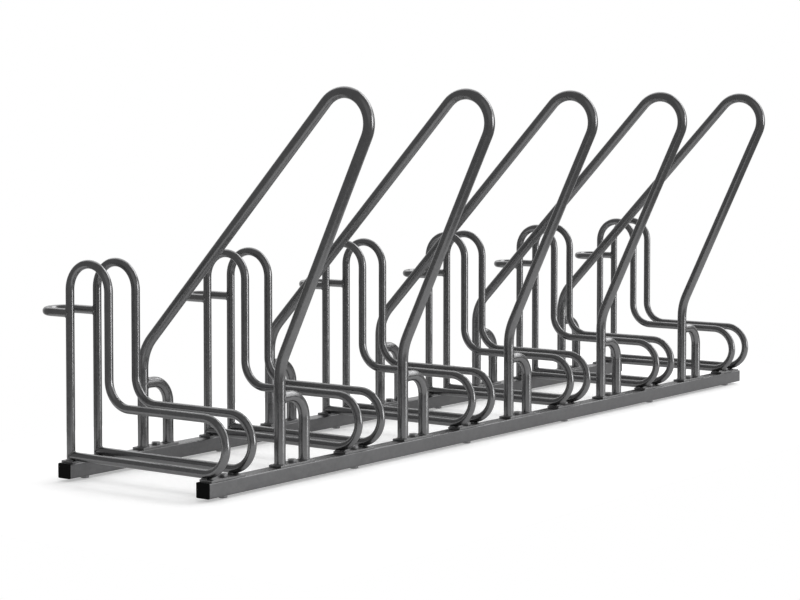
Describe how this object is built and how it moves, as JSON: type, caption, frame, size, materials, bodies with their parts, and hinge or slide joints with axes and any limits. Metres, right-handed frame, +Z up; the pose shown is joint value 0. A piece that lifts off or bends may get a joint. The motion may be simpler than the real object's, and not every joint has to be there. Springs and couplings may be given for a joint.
{
  "type": "floor bike rack",
  "caption": "Floor bicycle rack: bent-tube wheel holders with rear bows and tall forward-leaning arches, on foot plates bolted to parallel rectangular rails.",
  "frame": {"origin": "on the floor, under the middle of the rack's overall box", "axes": "+X along the row of holders, to the right for someone who wheels a bicycle in; the bicycles come in from -Y; +Z up"},
  "size_m": [2.642, 0.8528, 0.9579],
  "materials": {
    "rail_steel": "dull grey zinc, rolled section",
    "holder_tube_steel": "dull grey zinc on drawn tube",
    "arch_tube_steel": "dull grey zinc on drawn tube",
    "plate_steel": "dull grey zinc on flat bar",
    "fastener_steel": "bright zinc plated",
    "cap_plastic": "fine-grained black polyethylene"
  },
  "bodies": {
    "root": {"rail_rear": "rail_steel", "end_cap_rear_left": "cap_plastic", "end_cap_rear_right": "cap_plastic", "rail_front": "rail_steel", "end_cap_front_left": "cap_plastic", "end_cap_front_right": "cap_plastic", "holder_1_loop_left": "holder_tube_steel", "holder_1_loop_right": "holder_tube_steel", "holder_1_bow": "holder_tube_steel", "holder_1_plate_rear": "plate_steel", "holder_1_plate_front": "plate_steel", "holder_2_loop_left": "holder_tube_steel", "holder_2_loop_right": "holder_tube_steel", "holder_2_bow": "holder_tube_steel", "holder_2_plate_rear": "plate_steel", "holder_2_plate_front": "plate_steel", "holder_3_loop_left": "holder_tube_steel", "holder_3_loop_right": "holder_tube_steel", "holder_3_bow": "holder_tube_steel", "holder_3_plate_rear": "plate_steel", "holder_3_plate_front": "plate_steel", "holder_4_loop_left": "holder_tube_steel", "holder_4_loop_right": "holder_tube_steel", "holder_4_bow": "holder_tube_steel", "holder_4_plate_rear": "plate_steel", "holder_4_plate_front": "plate_steel", "holder_5_loop_left": "holder_tube_steel", "holder_5_loop_right": "holder_tube_steel", "holder_5_bow": "holder_tube_steel", "holder_5_plate_rear": "plate_steel", "holder_5_plate_front": "plate_steel", "holder_6_loop_left": "holder_tube_steel", "holder_6_loop_right": "holder_tube_steel", "holder_6_bow": "holder_tube_steel", "holder_6_plate_rear": "plate_steel", "holder_6_plate_front": "plate_steel", "arch_1": "arch_tube_steel", "arch_1_brace_rear": "arch_tube_steel", "arch_1_brace_front": "arch_tube_steel", "arch_2": "arch_tube_steel", "arch_2_brace_rear": "arch_tube_steel", "arch_2_brace_front": "arch_tube_steel", "arch_3": "arch_tube_steel", "arch_3_brace_rear": "arch_tube_steel", "arch_3_brace_front": "arch_tube_steel", "arch_4": "arch_tube_steel", "arch_4_brace_rear": "arch_tube_steel", "arch_4_brace_front": "arch_tube_steel", "arch_5": "arch_tube_steel", "arch_5_brace_rear": "arch_tube_steel", "arch_5_brace_front": "arch_tube_steel", "arch_plates_rear": "plate_steel", "arch_plates_front": "plate_steel", "holder_bolts": "fastener_steel", "holder_nuts": "fastener_steel", "arch_bolts": "fastener_steel", "arch_rivet_nuts": "fastener_steel"}
  },
  "joints": []
}
